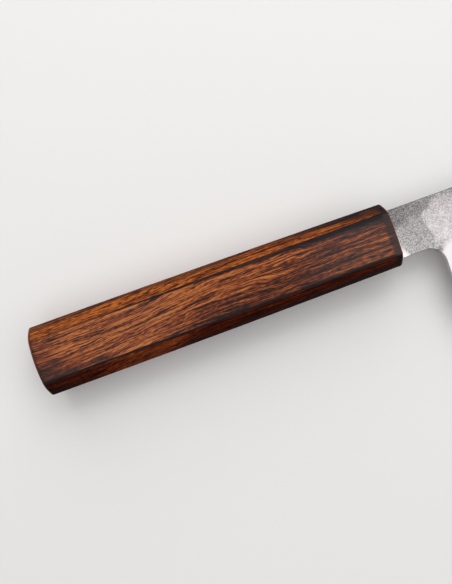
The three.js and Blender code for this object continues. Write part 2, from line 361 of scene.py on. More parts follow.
# %% The handle's tree
def handle_tree():
    tree = bpy.data.node_groups.new("octagonal_handle", "GeometryNodeTree")
    for name in HANDLE:
        tree.interface.new_socket(name, in_out="INPUT", socket_type="NodeSocketFloat")
    tree.interface.new_socket("Finish", in_out="INPUT", socket_type="NodeSocketMaterial")
    tree.interface.new_socket("Handle", in_out="OUTPUT", socket_type="NodeSocketGeometry")
    given = add_node(tree, "NodeGroupInput")
    size = {name: Term(tree, given.outputs[name]) for name in HANDLE}

    grid, along, around = handle_grid(tree)
    outer_x, inset, round_rim = row_places(size, along, around)
    octagon = octagon_quarter(size, outer_x, inset, around)
    socket_y, socket_z = socket_quarter(size, along, around, octagon)
    shrink = along["crown"] * (1.0 - along["end"])
    fall = end_fall(size, outer_x, around) * shrink * shrink * (1.0 - along["face"])
    x = outer_x + fall - size["Socket Depth"] * along["socket"]
    y = blend(octagon.y, socket_y, along["face"]) * shrink
    z = blend(octagon.z, socket_z, along["face"]) * shrink
    place = add_node(tree, "ShaderNodeCombineXYZ", (x * MM, y * MM, z * MM)).outputs[0]
    quarter = passed_on(tree, "GeometryNodeSetPosition", grid, {"Position": place})

    # For the finish: the place along the handle, how far past a long corner a point is (onto the broad
    # or the narrow facet, or less than nothing on the chamfer), and how far round a rim.
    marks = {
        "along_handle": outer_x + size["Length"],
        "past_broad_corner": octagon.past_broad,
        "past_narrow_corner": octagon.past_narrow,
        "rim": round_rim,
    }
    for name, value in marks.items():
        mark = {"Name": name, "Value": value}
        quarter = passed_on(tree, "GeometryNodeStoreNamedAttribute", quarter, mark, data_type="FLOAT")
    whole = whole_from_quarter(tree, quarter)
    whole = passed_on(tree, "GeometryNodeTransform", whole, {"Translation": FRONT})
    whole = passed_on(tree, "GeometryNodeRealizeInstances", whole)
    whole = passed_on(tree, "GeometryNodeSetMaterial", whole, {"Material": given.outputs["Finish"]})
    add_node(tree, "NodeGroupOutput", (whole,))
    return tree


HANDLE_TREE = handle_tree()
print("handle's tree:", len(HANDLE_TREE.nodes), "nodes")

# %% [markdown]
# Finishes come next. All of them are solid patterns, so the same wood or steel runs through every face
# of a piece. One effect is shared: noise that is stretched along the knife, which gives the wood its
# grain, the stoned steel its lines and the forged steel its dimples. It is one node group, and each
# finish places it with its own sizes, in millimetres from the handle's front face.

# %% Shared grain group
def object_millimetres(tree):
    """Object coordinates as millimetres from the middle of the handle's front face."""
    inputs = {
        "Vector": add_node(tree, "ShaderNodeTexCoord").outputs["Object"],
        "Location": [-value / MM for value in FRONT],
        "Scale": [1 / MM] * 3,
    }
    return add_node(tree, "ShaderNodeMapping", inputs).outputs["Vector"]


def axes_of(tree, place):
    split = add_node(tree, "ShaderNodeSeparateXYZ", (place,))
    return [Term(tree, socket) for socket in split.outputs]


def stretched_noise_group():
    """A noise whose grains are Long millimetres along X and Fine millimetres across it."""
    tree = bpy.data.node_groups.new("stretched_noise", "ShaderNodeTree")
    tree.interface.new_socket("Place", in_out="INPUT", socket_type="NodeSocketVector")
    for name in ("Long", "Fine", "Shift", "Detail", "Roughness"):
        tree.interface.new_socket(name, in_out="INPUT", socket_type="NodeSocketFloat")
    tree.interface.new_socket("Value", in_out="OUTPUT", socket_type="NodeSocketFloat")
    given = add_node(tree, "NodeGroupInput").outputs
    x, y, z = axes_of(tree, given["Place"])
    long, fine, shift = (Term(tree, given[name]) for name in ("Long", "Fine", "Shift"))
    squeezed = add_node(tree, "ShaderNodeCombineXYZ", (x / long + shift, y / fine + shift, z / fine))
    noise = add_node(tree, "ShaderNodeTexNoise", {
        "Vector": squeezed.outputs[0],
        "Scale": 1.0,
        "Detail": given["Detail"],
        "Roughness": given["Roughness"],
    })
    add_node(tree, "NodeGroupOutput", (noise.outputs[0],))
    return tree


STRETCHED_NOISE = stretched_noise_group()


def stretched_noise(tree, place, long, fine, shift, detail, roughness=0.5):
    inputs = (place, long, fine, shift, detail, roughness)
    group = add_node(tree, "ShaderNodeGroup", inputs, node_tree=STRETCHED_NOISE)
    return Term(tree, group.outputs["Value"])


print("shared group:", STRETCHED_NOISE.name)

# %% Small helpers for finishes
def new_finish(name):
    """A node material with its Principled shader, ready to be fed."""
    finish = bpy.data.materials.new(name)
    finish.use_nodes = True
    tree = finish.node_tree
    return finish, tree, tree.nodes["Principled BSDF"]


def colour_ramp(tree, value, stops):
    """A colour that runs through stops, each a place from 0 to 1 and a linear colour."""
    ramp = add_node(tree, "ShaderNodeValToRGB", {"Fac": value})
    band = ramp.color_ramp
    while len(band.elements) < len(stops):
        band.elements.new(1.0)
    for element, (place, colour) in zip(band.elements, stops):
        element.position = place
        element.color = (*colour, 1.0)
    return ramp.outputs["Color"]


def mix_colour(tree, share, first, second, how="MIX"):
    inputs = {"Factor": share, 6: first, 7: second}
    return add_node(tree, "ShaderNodeMix", inputs, data_type="RGBA", blend_type=how).outputs[2]


def tinted(tree, tone, tint):
    """A colour of a given tone, with its red, green and blue in the shares of a tint."""
    return add_node(tree, "ShaderNodeCombineColor", [tone * share for share in tint]).outputs[0]


def attribute(tree, name):
    return Term(tree, add_node(tree, "ShaderNodeAttribute", attribute_name=name).outputs["Fac"])


def relief(tree, height, strength, depth):
    """The normal of a relief of a depth in millimetres, from a height that runs from 0 to about 1."""
    inputs = {"Strength": strength, "Distance": depth * MM, "Height": height}
    return add_node(tree, "ShaderNodeBump", inputs).outputs["Normal"]


def between(value, low, high, soft):
    """1 from low to high, fading to 0 over soft on either side of each end."""
    risen = value.ramp(low - soft, low + soft, smooth=True)
    return risen * value.ramp(high - soft, high + soft, 1.0, 0.0, smooth=True)


print("finish helpers ready")

# %% [markdown]
# The handle's finish is what the eye goes to. The oak was scorched and then rubbed back, so the hard
# grain shows orange between dark burnt lines, the long corners and both ends stay black, and a thin
# clear lacquer lies over it. It could be painted on a picture, but a solid pattern is truer: the grain
# then runs through every facet and out at the ends. It is built up in the maker's order: first the plain
# wood, then the smoke that darkens it, with painted shade added on the edge's chamfers, then the char,
# and last a painted highlight on the rims, and the lacquer.

# %% The oak's grain
# Each layer of grain: how long and how fine its marks are, a shift that keeps it apart from the
# others, and the noise's detail and roughness.
OAK_LAYERS = {
    "bands": (80.0, 2.6, 1.0, 1.5),
    "streaks": (26.0, 0.70, 5.0, 2.5, 0.6),
    "fibres": (9.0, 0.32, 11.0, 1.0),
    "pores": (1.7, 0.28, 29.0, 0.0),
    "dashes": (14.0, 0.52, 17.0, 1.0),
    "wobble": (18.0, 1.3, 31.0, 2.0),
}
OAK_WEIGHTS = {"bands": 0.8, "streaks": 2.3, "fibres": 1.7, "pores": 1.1}
DASH_WEIGHT = 0.34
OAK_TONE = 0.70
OAK_WANDER = (60.0, 8.0, 3.0, 1.0)
OAK_RIPPLE = (10.0, 2.4, 8.0, 1.0)


def handle_places(tree):
    """Where a point of the handle is: its axes, its place from the butt, and which face it is on."""
    at = SimpleNamespace(place=object_millimetres(tree))
    at.x, at.y, at.z = axes_of(tree, at.place)
    at.from_butt = attribute(tree, "along_handle")
    at.from_front = at.from_butt - HANDLE["Length"]
    at.past_broad = attribute(tree, "past_broad_corner")
    at.past_narrow = attribute(tree, "past_narrow_corner")
    at.on_side = 1.0 - (at.from_butt.ramp(0.5, 1.0, 1.0, 0.0) + at.from_front.ramp(-0.9, -0.4))
    at.on_broad = at.past_broad.ramp(-0.1, 0.1) * at.on_side
    off_broad = at.on_side - at.on_broad
    at.on_spine_chamfer = at.y.ramp(7.4, 8.2) * off_broad
    at.on_edge_chamfer = at.y.ramp(-8.2, -7.4, 1.0, 0.0) * off_broad
    at.spine_side = at.y.ramp(-1.0, 1.0)
    return at


def oak_layers(tree, at):
    """The layers of grain, which climb towards the spine on their way to the front, and wander."""
    climb = at.from_butt.ramp(6.0, 78.0, 0.0, 5.0, smooth=True)
    wander = (stretched_noise(tree, at.place, *OAK_WANDER) - 0.5) * 5.0
    ripple = (stretched_noise(tree, at.place, *OAK_RIPPLE) - 0.5) * 1.7
    across = at.y - climb + wander + ripple
    field = add_node(tree, "ShaderNodeCombineXYZ", (at.x, across, at.z)).outputs[0]
    layers = {name: stretched_noise(tree, field, *sizes) for name, sizes in OAK_LAYERS.items()}
    layers["dashes"] = layers["dashes"].ramp(0.53, 0.63, smooth=True)
    return layers


def plain_oak_tone(layers):
    """The wood before the fire: layers that swing both ways, less the short dark dashes."""
    swing = sum((layers[name] - 0.5) * weight for name, weight in OAK_WEIGHTS.items())
    return swing - layers["dashes"] * DASH_WEIGHT + OAK_TONE


print("grain layers:", *OAK_LAYERS)

# %% Smoke
# Stretches along the handle, in millimetres from the butt, that differ from what is round them.
SMOKY_MIDDLE = (51.0, 75.0)
SMOKY_FRONT = (98.0, 117.0)
RUBBED_PATCH = (25.0, 53.0)
CLEAR_SPINE = (53.0, 73.0)
# The even tone that thick smoke draws the broad facets' grain to, and the one the chamfers are
# drawn to, the edge's more as part of their painted shade.
BROAD_HAZE = 0.6
CHAMFER_HAZE = 0.55


def smoke_on_broad(at, front, rear):
    """Smoke on the broad facets, less what was scoured clear low at the front and towards the spine."""
    corner = at.past_broad.ramp(0.0, 7.0, 0.33, 0.0) * at.y.ramp(0.0, 2.0)
    corner = corner * at.from_butt.ramp(88.0, 116.0)
    low = at.y.ramp(-7.0, 0.0, 0.10, 0.0) * at.from_butt.ramp(44.0, 60.0)
    late = between(at.from_butt, *SMOKY_FRONT, 6.0) * at.y.ramp(0.0, 4.0, 0.07, 0.0)
    middle = between(at.from_butt, *SMOKY_MIDDLE, 7.0) * 0.08
    clear_end = at.from_butt.ramp(114.0, 124.0, smooth=True) * at.y.ramp(-1.0, 5.0, 0.08, 0.0)
    clear_top = at.y.ramp(1.0, 6.0, 0.0, 0.16) * at.from_butt.ramp(8.0, 16.0)
    clear_top = clear_top * at.from_butt.ramp(90.0, 108.0, 1.0, 0.0)
    return (front + corner + rear + low + late + middle - clear_end - clear_top) * at.on_broad


def smoke_and_shade_tone(at, tone):
    """The wood's tone after the fire: evened out where smoke lies thick, and darkened by it. Smoke
    lies on the front end and the lower rear. The edge's chamfers are evened out and darkened more, as
    painted shade."""
    front = (at.from_butt - at.y * 3.5).ramp(44.0, 104.0, 0.0, 0.27, smooth=True)
    rear = at.from_butt.ramp(8.0, 36.0, 0.36, 0.0, smooth=True) * at.y.ramp(-5.5, 1.5, 1.0, 0.0)
    rear = rear + at.from_butt.ramp(3.0, 15.0, 0.14, 0.0, smooth=True)
    broad = smoke_on_broad(at, front, rear)
    tone = blend(tone, BROAD_HAZE, (broad * 0.5 + rear * at.on_broad * 0.8).most(0.0))
    # The chamfers are drawn to an even tone, the edge's twice as far, as part of its painted shade.
    tone = blend(tone, CHAMFER_HAZE, at.on_edge_chamfer * 0.4 + at.on_spine_chamfer * 0.2)
    patch = between(at.from_butt, *RUBBED_PATCH, 9.0)
    # Painted shade on the edge's chamfers: darkest at the rear and towards the front, lighter on the
    # patch.
    edge = at.from_butt.ramp(4.0, 16.0, 0.37, 0.21, smooth=True) - patch * 0.22 + front * 0.4
    clear = at.from_butt.ramp(18.0, 34.0, 0.07, 0.0) + between(at.from_butt, *CLEAR_SPINE, 6.0) * 0.08
    spine = at.from_butt.ramp(96.0, 130.0, 0.0, 0.24, smooth=True) - clear
    return tone - broad - at.on_edge_chamfer * edge - at.on_spine_chamfer * spine


print("smoky stretches:", SMOKY_MIDDLE, SMOKY_FRONT, "rubbed patch:", RUBBED_PATCH)

# %% Char
# Stretches of the spine's corners, in millimetres from the butt, where the char swells and thins.
CHAR_SWELLS = (50.0, 72.0)
CHAR_THINS = (78.0, 98.0)
LEAST_CHAR = 0.3
END_WOBBLE = (5.0, 0.5, 37.0, 2.0)


def corner_scorch(past, facet_width, chamfer_width):
    """Scorching along a long corner, with its own width on the facet and on the chamfer."""
    width = blend(chamfer_width, facet_width, past.ramp(-0.05, 0.05))
    return 1.0 - (past.math("ABSOLUTE") / width).ramp(0.45, 1.15, smooth=True)


def corner_char(at, wobble):
    """Char along the long corners, wider towards the front."""
    reach = at.from_butt.ramp(60.0, 125.0, smooth=True)
    spine_begun = at.from_butt.ramp(8.0, 22.0, 0.0, 0.12) + at.from_butt.ramp(46.0, 84.0, 0.0, 0.9)
    begun = blend(0.40, spine_begun, at.spine_side)
    broad_width = wobble * begun + reach * wobble * blend(1.2, 1.5, at.spine_side) + 0.02
    broad = corner_scorch(at.past_broad, broad_width, begun * 0.35 + 0.02)
    broad = broad * blend(1.0, at.from_butt.ramp(6.0, 40.0, 0.6, 1.0), at.spine_side)
    swell = between(at.from_butt, *CHAR_SWELLS, 8.0) - between(at.from_butt, *CHAR_THINS, 6.0) * 1.8
    swell = swell + at.from_butt.ramp(5.0, 15.0, 1.3, 0.0)
    narrow_width = (wobble * 4.4 + reach * 0.8 + swell * at.spine_side).most(LEAST_CHAR)
    narrow = corner_scorch(at.past_narrow, 1.2, narrow_width) * blend(0.62, 1.0, reach)
    narrow = narrow * blend(at.from_butt.ramp(24.0, 48.0, 0.45, 0.75), 1.0, at.spine_side)
    return broad.most(narrow) * at.on_side


def end_char(tree, at):
    """Char that closes round the front end and the butt."""
    wobble = (stretched_noise(tree, at.place, *END_WOBBLE) - 0.5) * 2.0
    front = (at.from_front + wobble).ramp(-3.6, -1.7, 0.0, 0.95, smooth=True)
    butt = (at.from_butt - wobble * 0.2).ramp(0.8, 2.2, 0.9, 0.0, smooth=True)
    return front, butt


print("char swells", CHAR_SWELLS, "and thins", CHAR_THINS, "mm from the butt")

# %% Burnt oak
# The wood's colours from darkest to lightest tone, all linear.
OAK_SHADES = [
    (0.00, (0.015, 0.007, 0.006)),
    (0.20, (0.042, 0.012, 0.008)),
    (0.40, (0.110, 0.025, 0.010)),
    (0.60, (0.208, 0.048, 0.014)),
    (0.80, (0.315, 0.085, 0.023)),
    (1.00, (0.430, 0.144, 0.038)),
]
COAL = (0.010, 0.009, 0.011, 1.0)
# Painted highlight: the lighter orange laid on the rounded rims, where they catch the light.
RIM_HIGHLIGHT_OAK = (0.340, 0.080, 0.016, 1.0)
# Painted shade: a darker, redder tint for the edge's chamfers, which face away from the light.
EDGE_CHAMFER_SHADE_TINT = (0.50, 0.26, 0.10, 1.0)
# Painted: a warmer tint with less blue for the spine's chamfers, to cancel part of the grey reflection
# they show.
SPINE_CHAMFER_TINT = (1.0, 0.93, 0.55, 1.0)
OAK_SPECULAR = 0.02
LACQUER_ROUGHNESS = 0.25
DULL_LACQUER = (50.0, 96.0)


def oak_colour(tree, at, tone, char):
    """The smoked wood, with painted shade on the edge's chamfers and a painted warm tint on the spine's,
    burnt to coal, and with a painted highlight on the rims.
    """
    wood = colour_ramp(tree, tone, OAK_SHADES)
    patch = between(at.from_butt, *RUBBED_PATCH, 9.0)
    # Painted shade on the edge's chamfers, less on the lighter patch.
    edge_shade_share = at.on_edge_chamfer * (1.0 - patch * 0.35)
    wood = mix_colour(tree, edge_shade_share, wood, EDGE_CHAMFER_SHADE_TINT, "MULTIPLY")
    # Painted: the spine's chamfers are warmed to cancel part of their grey reflection.
    wood = mix_colour(tree, at.on_spine_chamfer, wood, SPINE_CHAMFER_TINT, "MULTIPLY")
    burnt = mix_colour(tree, char * 0.93, wood, COAL)
    # Painted highlight on the rounded rims: strongest at the butt towards the spine, none on the edge's
    # chamfers.
    butt_highlight = at.from_butt.ramp(4.0, 8.0, 0.4, 0.0) * at.y.ramp(-3.0, 4.0)
    round_rim = attribute(tree, "rim")
    rim_highlight = round_rim * round_rim * (1.0 - at.on_edge_chamfer) * (butt_highlight + 0.36)
    return mix_colour(tree, rim_highlight, burnt, RIM_HIGHLIGHT_OAK)


def lacquer_left(at, char, front_char):
    """Lacquer lies thickest towards the front of the broad facets. Where the wood is charred most of it
    is lost, except round the front end."""
    broad = at.from_butt.ramp(96.0, 118.0, 0.26, 0.46) - between(at.from_butt, *DULL_LACQUER, 8.0) * 0.12
    left = (at.on_spine_chamfer * 0.16 + at.on_broad * broad) * (1.0 - char * 0.6)
    return left.most(front_char * at.on_broad * 0.55)


def burnt_oak():
    finish, tree, shader = new_finish("burnt_oak")
    at = handle_places(tree)
    layers = oak_layers(tree, at)
    front_char, butt_char = end_char(tree, at)
    char = corner_char(at, layers["wobble"]).most(front_char).most(butt_char)
    tone = smoke_and_shade_tone(at, plain_oak_tone(layers))
    raised = layers["streaks"] * 0.5 + layers["fibres"] * 0.3 + layers["pores"] * 0.3
    feed_all(tree, shader, {
        "Base Color": oak_colour(tree, at, tone, char),
        "Roughness": layers["streaks"].ramp(0.3, 0.7, 0.42, 0.34),
        "Normal": relief(tree, raised - layers["dashes"] * 0.4, strength=0.3, depth=0.05),
        "Coat Weight": lacquer_left(at, char, front_char),
        "Coat Roughness": LACQUER_ROUGHNESS,
        "Specular IOR Level": OAK_SPECULAR,
    })
    return finish


BURNT_OAK = burnt_oak()
print("burnt oak:", len(BURNT_OAK.node_tree.nodes), "nodes")

# %% [markdown]
# Now the handle's tree can run. A modifier on an empty mesh carries it, and takes each size by the
# socket's identifier. The modifier could stay live, but a plain mesh can be measured and exported as it
# stands. So the result is copied into an object of its own, and the empty one is removed.

# %% Make the handle
def plain_mesh_from(tree, name, values):
    """Runs a geometry tree on an empty mesh and keeps what it makes as a plain mesh object."""
    source = new_object(name + "_source", bpy.data.meshes.new(name + "_source"))
    modifier = source.modifiers.new("tree", "NODES")
    modifier.node_group = tree
    for socket in tree.interface.items_tree:
        if socket.in_out == "INPUT":
            modifier[socket.identifier] = values[socket.name]
    evaluated = source.evaluated_get(bpy.context.evaluated_depsgraph_get())
    made = new_object(name, bpy.data.meshes.new_from_object(evaluated))
    made.data.name = name
    bpy.data.objects.remove(source)
    return made


handle = plain_mesh_from(HANDLE_TREE, "handle_oak", {**HANDLE, "Finish": BURNT_OAK})
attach(handle, "root")
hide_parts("handle")
print("handle:", len(handle.data.vertices), "points,", len(handle.data.polygons), "faces")

# %% [markdown]
# The blade is a hard core between two soft claddings, all ground together. Its form follows a few of
# the grinder's rules: flats that thin from the handle to the tip, a wide bevel below a ridge that bends
# down into the heel, and a narrow sharpened strip. Where the bevel cuts through a cladding, the weld
# comes to the surface. The rules are written first, as plain functions of the place on the blade's
# side, because every line and thickness of the mesh follows from them.

# %% Blade sizes, in millimetres
BLADE_LENGTH = 170.0
BLADE_HEIGHT = 47.0
NECK_LENGTH = 16.1
NECK_HEIGHT = 17.8
NECK_DROP = 0.35
CHOIL_RADIUS = 6.0
HEEL_ROUNDING = 0.8
SPINE_DROP = 2.2
CLIP_LENGTH = 46.0
EDGE_FLAT = 80.0
EDGE_RISE = 10.0
EDGE_SWEEP = 2.2
NECK_THICKNESS = 3.6
HEEL_THICKNESS = 2.8
TIP_THICKNESS = 1.4
CORE_THICKNESS = 0.9
BEVEL_HEIGHT = 28.8
RUNOUT_LENGTH = 6.0
RUNOUT_DROP = 2.1
RUNOUT_SWEEP = 3.0
EDGE_THICKNESS = 0.3
SHARPENED_STRIP = 0.7
TANG_LENGTH = 95.0
SHOULDER_SEAT = 0.3
EASED_EDGE = 0.25
WELD_WANDER = 0.05
WELD_CALM = 8.0
# The weld's wander as waves: turn per millimetre, start and share.
WELD_WAVES = ((0.31, 0.4, 0.5), (0.13, 1.9, 0.9), (0.57, 4.1, 0.3), (0.071, 2.6, 0.6))

HEEL_X = NECK_LENGTH
TIP_X = HEEL_X + BLADE_LENGTH
CLIP_X = TIP_X - CLIP_LENGTH
SPINE_Y = NECK_HEIGHT / 2 - NECK_DROP
UNDER_Y = SPINE_Y - NECK_HEIGHT
EDGE_Y = SPINE_Y - BLADE_HEIGHT
TIP_Y = EDGE_Y + EDGE_RISE
CLIP_Y = SPINE_Y - SPINE_DROP
SWEEP_X = HEEL_X + EDGE_FLAT
RIDGE_X = HEEL_X + RUNOUT_LENGTH
print("blade from", HEEL_X, "to", TIP_X, "mm ahead of the handle")

# %% Rules of the grind
def edge_y(x):
    """Height of the cutting edge: straight from the heel, then sweeping up to the tip."""
    along = np.clip((x - SWEEP_X) / (TIP_X - SWEEP_X), 0, None)
    return EDGE_Y + EDGE_RISE * along**EDGE_SWEEP


def ridge_y(x):
    """Height of the ridge above the bevel, which bends down into the heel."""
    short = np.clip((RIDGE_X - x) / RUNOUT_LENGTH, 0, None)
    return edge_y(x) + BEVEL_HEIGHT - RUNOUT_DROP * short**RUNOUT_SWEEP


def flat_half(x):
    """Half the thickness of the flats, which thin from the shoulders both ways."""
    knots = (-TANG_LENGTH, SHOULDER_SEAT, HEEL_X, TIP_X)
    thicknesses = (HANDLE["Socket End Thickness"], NECK_THICKNESS, HEEL_THICKNESS, TIP_THICKNESS)
    return np.interp(x, knots, thicknesses) / 2


def ground_half(x, y):
    """Half the blade's thickness: flats, the bevel below the ridge and the sharpened strip."""
    strip = edge_y(x) + SHARPENED_STRIP
    ridge = np.maximum(ridge_y(x), strip + SHARPENED_STRIP)
    flat = flat_half(x)
    down_bevel = np.clip((ridge - y) / (ridge - strip), 0, 1)
    down_strip = np.clip((strip - y) / SHARPENED_STRIP, 0, 1)
    return (flat + (EDGE_THICKNESS / 2 - flat) * down_bevel) * (1 - down_strip)


def weld_half(x):
    """Half the core's thickness, where the weld wanders a little along the blade."""
    wander = sum(share * np.sin(rate * x + start) for rate, start, share in WELD_WAVES)
    calm = np.clip((x - HEEL_X) / WELD_CALM, 0, 1)
    return CORE_THICKNESS / 2 + WELD_WANDER * wander * calm


def weld_y(x):
    """Height at which the weld comes to the surface of the bevel."""
    strip = edge_y(x) + SHARPENED_STRIP
    share = (weld_half(x) - EDGE_THICKNESS / 2) / (flat_half(x) - EDGE_THICKNESS / 2)
    return strip + share * (ridge_y(x) - strip)


print("weld line", round(float(weld_y(HEEL_X) - edge_y(HEEL_X)), 2), "mm above the edge at the heel")

# %% [markdown]
# A block could be cut to this form with booleans, but they leave long thin faces that shade badly. Seen
# from the side the blade is one outline, so the mesh starts there: the outline and the lines that matter
# on its face (the ridge, the weld and the sharpened strip) are triangulated flat, and then every point
# is lifted to the thickness that forging and grinding leave at that place. Two such sheets at different
# heights, and the walls between them, make each closed layer.

# %% The outline from the side
TANG_STEP = 6.0
NECK_STEP = 1.0
LINE_STEP = 1.2
SAME_POINT = 1e-6


def arc(centre, radius, start, end, count):
    turns = np.radians(np.linspace(start, end, count))
    return np.column_stack((centre[0] + radius * np.cos(turns), centre[1] + radius * np.sin(turns)))


def line(start, end, step):
    count = max(2, int(np.ceil(np.hypot(*np.subtract(end, start)) / step)) + 1)
    return np.linspace(start, end, count)


def joined(*stretches_of_line):
    """One run of points from several, without the doubles where they meet."""
    points = np.vstack(stretches_of_line)
    apart = np.hypot(*np.diff(points, axis=0).T) > SAME_POINT
    return points[np.concatenate(([True], apart))]


def tang_outline():
    """The tang's lower and upper runs, from its rounded end and back to it."""
    root = HANDLE["Mouth Height"] / 2
    radius = HANDLE["Socket End Height"] / 2
    middle = (radius - TANG_LENGTH, 0)
    under = joined(
        arc(middle, radius, 180, 270, 8),
        line((middle[0], -radius), (SHOULDER_SEAT, -root), TANG_STEP),
    )
    over = joined(
        line((SHOULDER_SEAT, root), (middle[0], radius), TANG_STEP),
        arc(middle, radius, 90, 180, 8),
    )
    return under, over


def blade_outline():
    """Three runs: under the neck and round the choil to the heel, the edge, and the clip and spine."""
    choil = (HEEL_X - CHOIL_RADIUS, UNDER_Y - CHOIL_RADIUS)
    heel = (HEEL_X + HEEL_ROUNDING, EDGE_Y + HEEL_ROUNDING)
    under = joined(
        line((SHOULDER_SEAT, UNDER_Y), (choil[0], UNDER_Y), NECK_STEP),
        arc(choil, CHOIL_RADIUS, 90, 0, 28),
        line((HEEL_X, choil[1]), (HEEL_X, heel[1]), NECK_STEP),
        arc(heel, HEEL_ROUNDING, 180, 270, 7),
    )
    edge_x = line((heel[0], 0), (TIP_X, 0), LINE_STEP)[:, 0]
    spine_share = np.linspace(1, 0, 100)
    spine_x = HEEL_X + (CLIP_X - HEEL_X) * spine_share
    over = joined(
        line((TIP_X, TIP_Y), (CLIP_X, CLIP_Y), LINE_STEP),
        np.column_stack((spine_x, SPINE_Y - SPINE_DROP * spine_share**2)),
        line((HEEL_X, SPINE_Y), (SHOULDER_SEAT, SPINE_Y), NECK_STEP),
    )
    return under, np.column_stack((edge_x, edge_y(edge_x))), over


TANG_UNDER, TANG_OVER = tang_outline()
UNDER, EDGE, OVER = blade_outline()
OUTLINE = joined(TANG_UNDER, UNDER, EDGE, OVER, TANG_OVER)[:-1]
print("outline of", len(OUTLINE), "points")

# %% Lines on the face, and tools for them
RIDGE_STEP = 0.25
# How far in from a long edge the lines run that carry its rounding.
EASE_DEPTHS = EASED_EDGE * (1 - np.cos(np.radians((20, 40, 65, 90))))


def inset_run(run, distance):
    """A run of the outline moved to its left, which is into the blade."""
    step = np.gradient(run, axis=0)
    step /= np.hypot(*step.T)[:, None]
    return run + distance * np.column_stack((-step[:, 1], step[:, 0]))


def distance_to(points, run):
    """Distance from each point to the nearest stretch of a run."""
    start = run[:-1]
    step = np.diff(run, axis=0)
    away = points[:, None, :] - start[None, :, :]
    share = np.clip((away * step).sum(2) / (step**2).sum(1), 0, 1)
    return np.hypot(*(away - share[..., None] * step).transpose(2, 0, 1)).min(1)


def inside(points, ring):
    """Which points lie inside a closed ring."""
    x, y = points[:, :1], points[:, 1:]
    x0, y0 = ring.T
    x1, y1 = np.roll(ring, -1, axis=0).T
    crosses = (y0 > y) != (y1 > y)
    with np.errstate(divide="ignore", invalid="ignore"):
        at = x0 + (y - y0) / (y1 - y0) * (x1 - x0)
    return (crosses & (x < at)).sum(1) % 2 == 1


line_x = np.arange(HEEL_X - 1, TIP_X + 2, LINE_STEP)
ridge_x = np.concatenate((
    np.arange(HEEL_X - 1, RIDGE_X, RIDGE_STEP),
    np.arange(RIDGE_X, TIP_X, LINE_STEP),
))
FACE_LINES = {
    "ridge": np.column_stack((ridge_x, ridge_y(ridge_x))),
    "weld": np.column_stack((line_x, weld_y(line_x))),
    "strip": np.column_stack((line_x, edge_y(line_x) + SHARPENED_STRIP)),
}
print("face lines:", {name: len(run) for name, run in FACE_LINES.items()})

# %% Triangulate the side
LATTICE_STEP = 2.6
LATTICE_ROW = LATTICE_STEP * 0.87
CLEAR_OF_OUTLINE = 1.0
CLEAR_OF_LINES = 0.9
CDT_NEAR = 1e-5


def face_lattice():
    """Loose points between the outline and the face lines, in staggered rows."""
    low = OUTLINE.min(0)
    high = OUTLINE.max(0)
    lattice = np.array([
        (x + (LATTICE_STEP / 2 if row % 2 else 0), y)
        for row, y in enumerate(np.arange(low[1], high[1], LATTICE_ROW))
        for x in np.arange(low[0], high[0], LATTICE_STEP)
    ])
    closed = np.vstack((OUTLINE, OUTLINE[:1]))
    keep = inside(lattice, OUTLINE) & (distance_to(lattice, closed) > CLEAR_OF_OUTLINE)
    for run in FACE_LINES.values():
        keep &= distance_to(lattice, run) > CLEAR_OF_LINES
    return lattice[keep]


def triangulated_side():
    """Points and triangles of the blade's side, with the face lines among its edges."""
    runs = [inset_run(run, depth) for run in (UNDER, OVER) for depth in EASE_DEPTHS]
    runs = [run[inside(run, OUTLINE)] for run in (*runs, *FACE_LINES.values())]
    points = np.vstack([OUTLINE, *runs, face_lattice()])
    start = len(OUTLINE)
    edges = [(i, (i + 1) % start) for i in range(start)]
    for run in runs:
        edges += [(i, i + 1) for i in range(start, start + len(run) - 1)]
        start += len(run)
    made = delaunay_2d_cdt([Vector(p) for p in points], edges, [], 0, CDT_NEAR)
    flat = np.array([tuple(p) for p in made[0]])
    triangles = np.array(made[2])
    return flat, triangles[inside(flat[triangles].mean(1), OUTLINE)]


SIDE, TRIANGLES = triangulated_side()
print("blade side:", len(SIDE), "points,", len(TRIANGLES), "triangles")

# %% Lift the side to its thickness
ON_LINE = 2e-3
side_x, side_y = SIDE.T
weld = weld_half(side_x)
ground = ground_half(side_x, side_y)
eased_run_gap = np.minimum(distance_to(SIDE, UNDER), distance_to(SIDE, OVER))
ease = np.minimum(EASED_EDGE, 0.5 * np.clip(ground - weld, 0, None))
into_round = np.clip(1 - eased_run_gap / EASED_EDGE, 0, 1)
ground = ground - ease * (1 - np.sqrt(np.clip(1 - into_round**2, 0, None)))
on_lines = {
    "ridge": (np.abs(side_y - ridge_y(side_x)) < ON_LINE) & (side_x > RIDGE_X),
    "weld": (np.abs(side_y - weld_y(side_x)) < ON_LINE) & (side_x > HEEL_X - 1),
    "strip": np.abs(side_y - edge_y(side_x) - SHARPENED_STRIP) < ON_LINE,
}
ground = np.where(on_lines["weld"], weld, ground)
CLAD = ground[TRIANGLES].sum(1) > weld[TRIANGLES].sum(1) + SAME_POINT
print("cladding covers", int(CLAD.sum()), "triangles of each side")

# %% Sharp lines and marks for the finishes
SHARP_ANGLE = 32
FACE_PLACES = {
    "below_ridge": ridge_y(side_x) - side_y,
    "above_weld": side_y - weld_y(side_x),
    "above_edge": side_y - edge_y(side_x),
}


def keep_lines_sharp(mesh, sources):
    """Shades a layer smooth except at its real corners and along the face lines."""
    mesh.polygons.foreach_set("use_smooth", [True] * len(mesh.polygons))
    mesh.set_sharp_from_angle(angle=math.radians(SHARP_ANGLE))
    ends = np.zeros(len(mesh.edges) * 2, int)
    mesh.edges.foreach_get("vertices", ends)
    ends = sources[ends].reshape(-1, 2)
    sharp = np.zeros(len(mesh.edges), bool)
    mesh.attributes["sharp_edge"].data.foreach_get("value", sharp)
    for flags in on_lines.values():
        sharp |= flags[ends].all(1)
    mesh.attributes["sharp_edge"].data.foreach_set("value", sharp)


